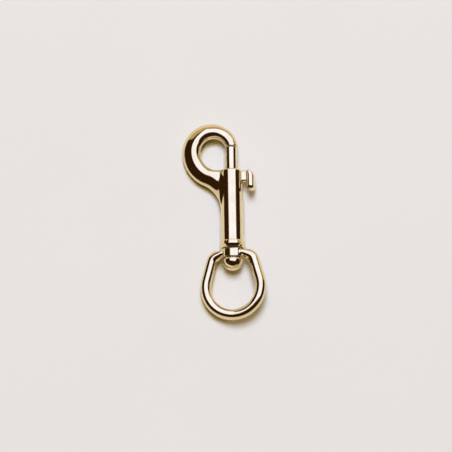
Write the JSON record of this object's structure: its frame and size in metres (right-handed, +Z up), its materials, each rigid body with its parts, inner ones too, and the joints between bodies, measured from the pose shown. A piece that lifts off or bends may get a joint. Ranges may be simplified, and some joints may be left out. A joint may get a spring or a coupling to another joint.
{
  "type": "snap hook",
  "caption": "Brass swivel bolt snap with a round eye, lying flat: a tapered hook closed by a sprung sliding bolt with a thumb stud, on a barrel whose collar carries a free-turning eye.",
  "frame": {"origin": "middle of the bounding box, on the surface that the part lies on", "axes": "+Z up, +Y along the barrel towards the hook, +X towards the thumb stud"},
  "size_m": [0.0344, 0.0842, 0.0108],
  "materials": {
    "cast_brass": "polished casting",
    "turned_brass": "polished, turned",
    "spring_steel": "drawn wire"
  },
  "bodies": {
    "snap": {"hook_body": "cast_brass", "swivel_pin": "turned_brass", "spring": "spring_steel"},
    "sliding_bolt": {"bolt": "turned_brass", "thumb_stud": "cast_brass"},
    "swivel_eye": {"eye": "cast_brass"}
  },
  "joints": [
    {"name": "bolt_slide", "type": "slide", "parent": "snap", "child": "sliding_bolt", "axis": [0, -1, 0], "range_m": [0, 0.0051], "stiffness_N_per_m": 400, "springref_m": -0.008, "deforming": ["spring"]},
    {"name": "eye_swivel", "type": "hinge", "parent": "snap", "child": "swivel_eye", "pos_m": [0.00344, -0.01371, 0.0054], "axis": [0, 1, 0], "continuous": true}
  ]
}
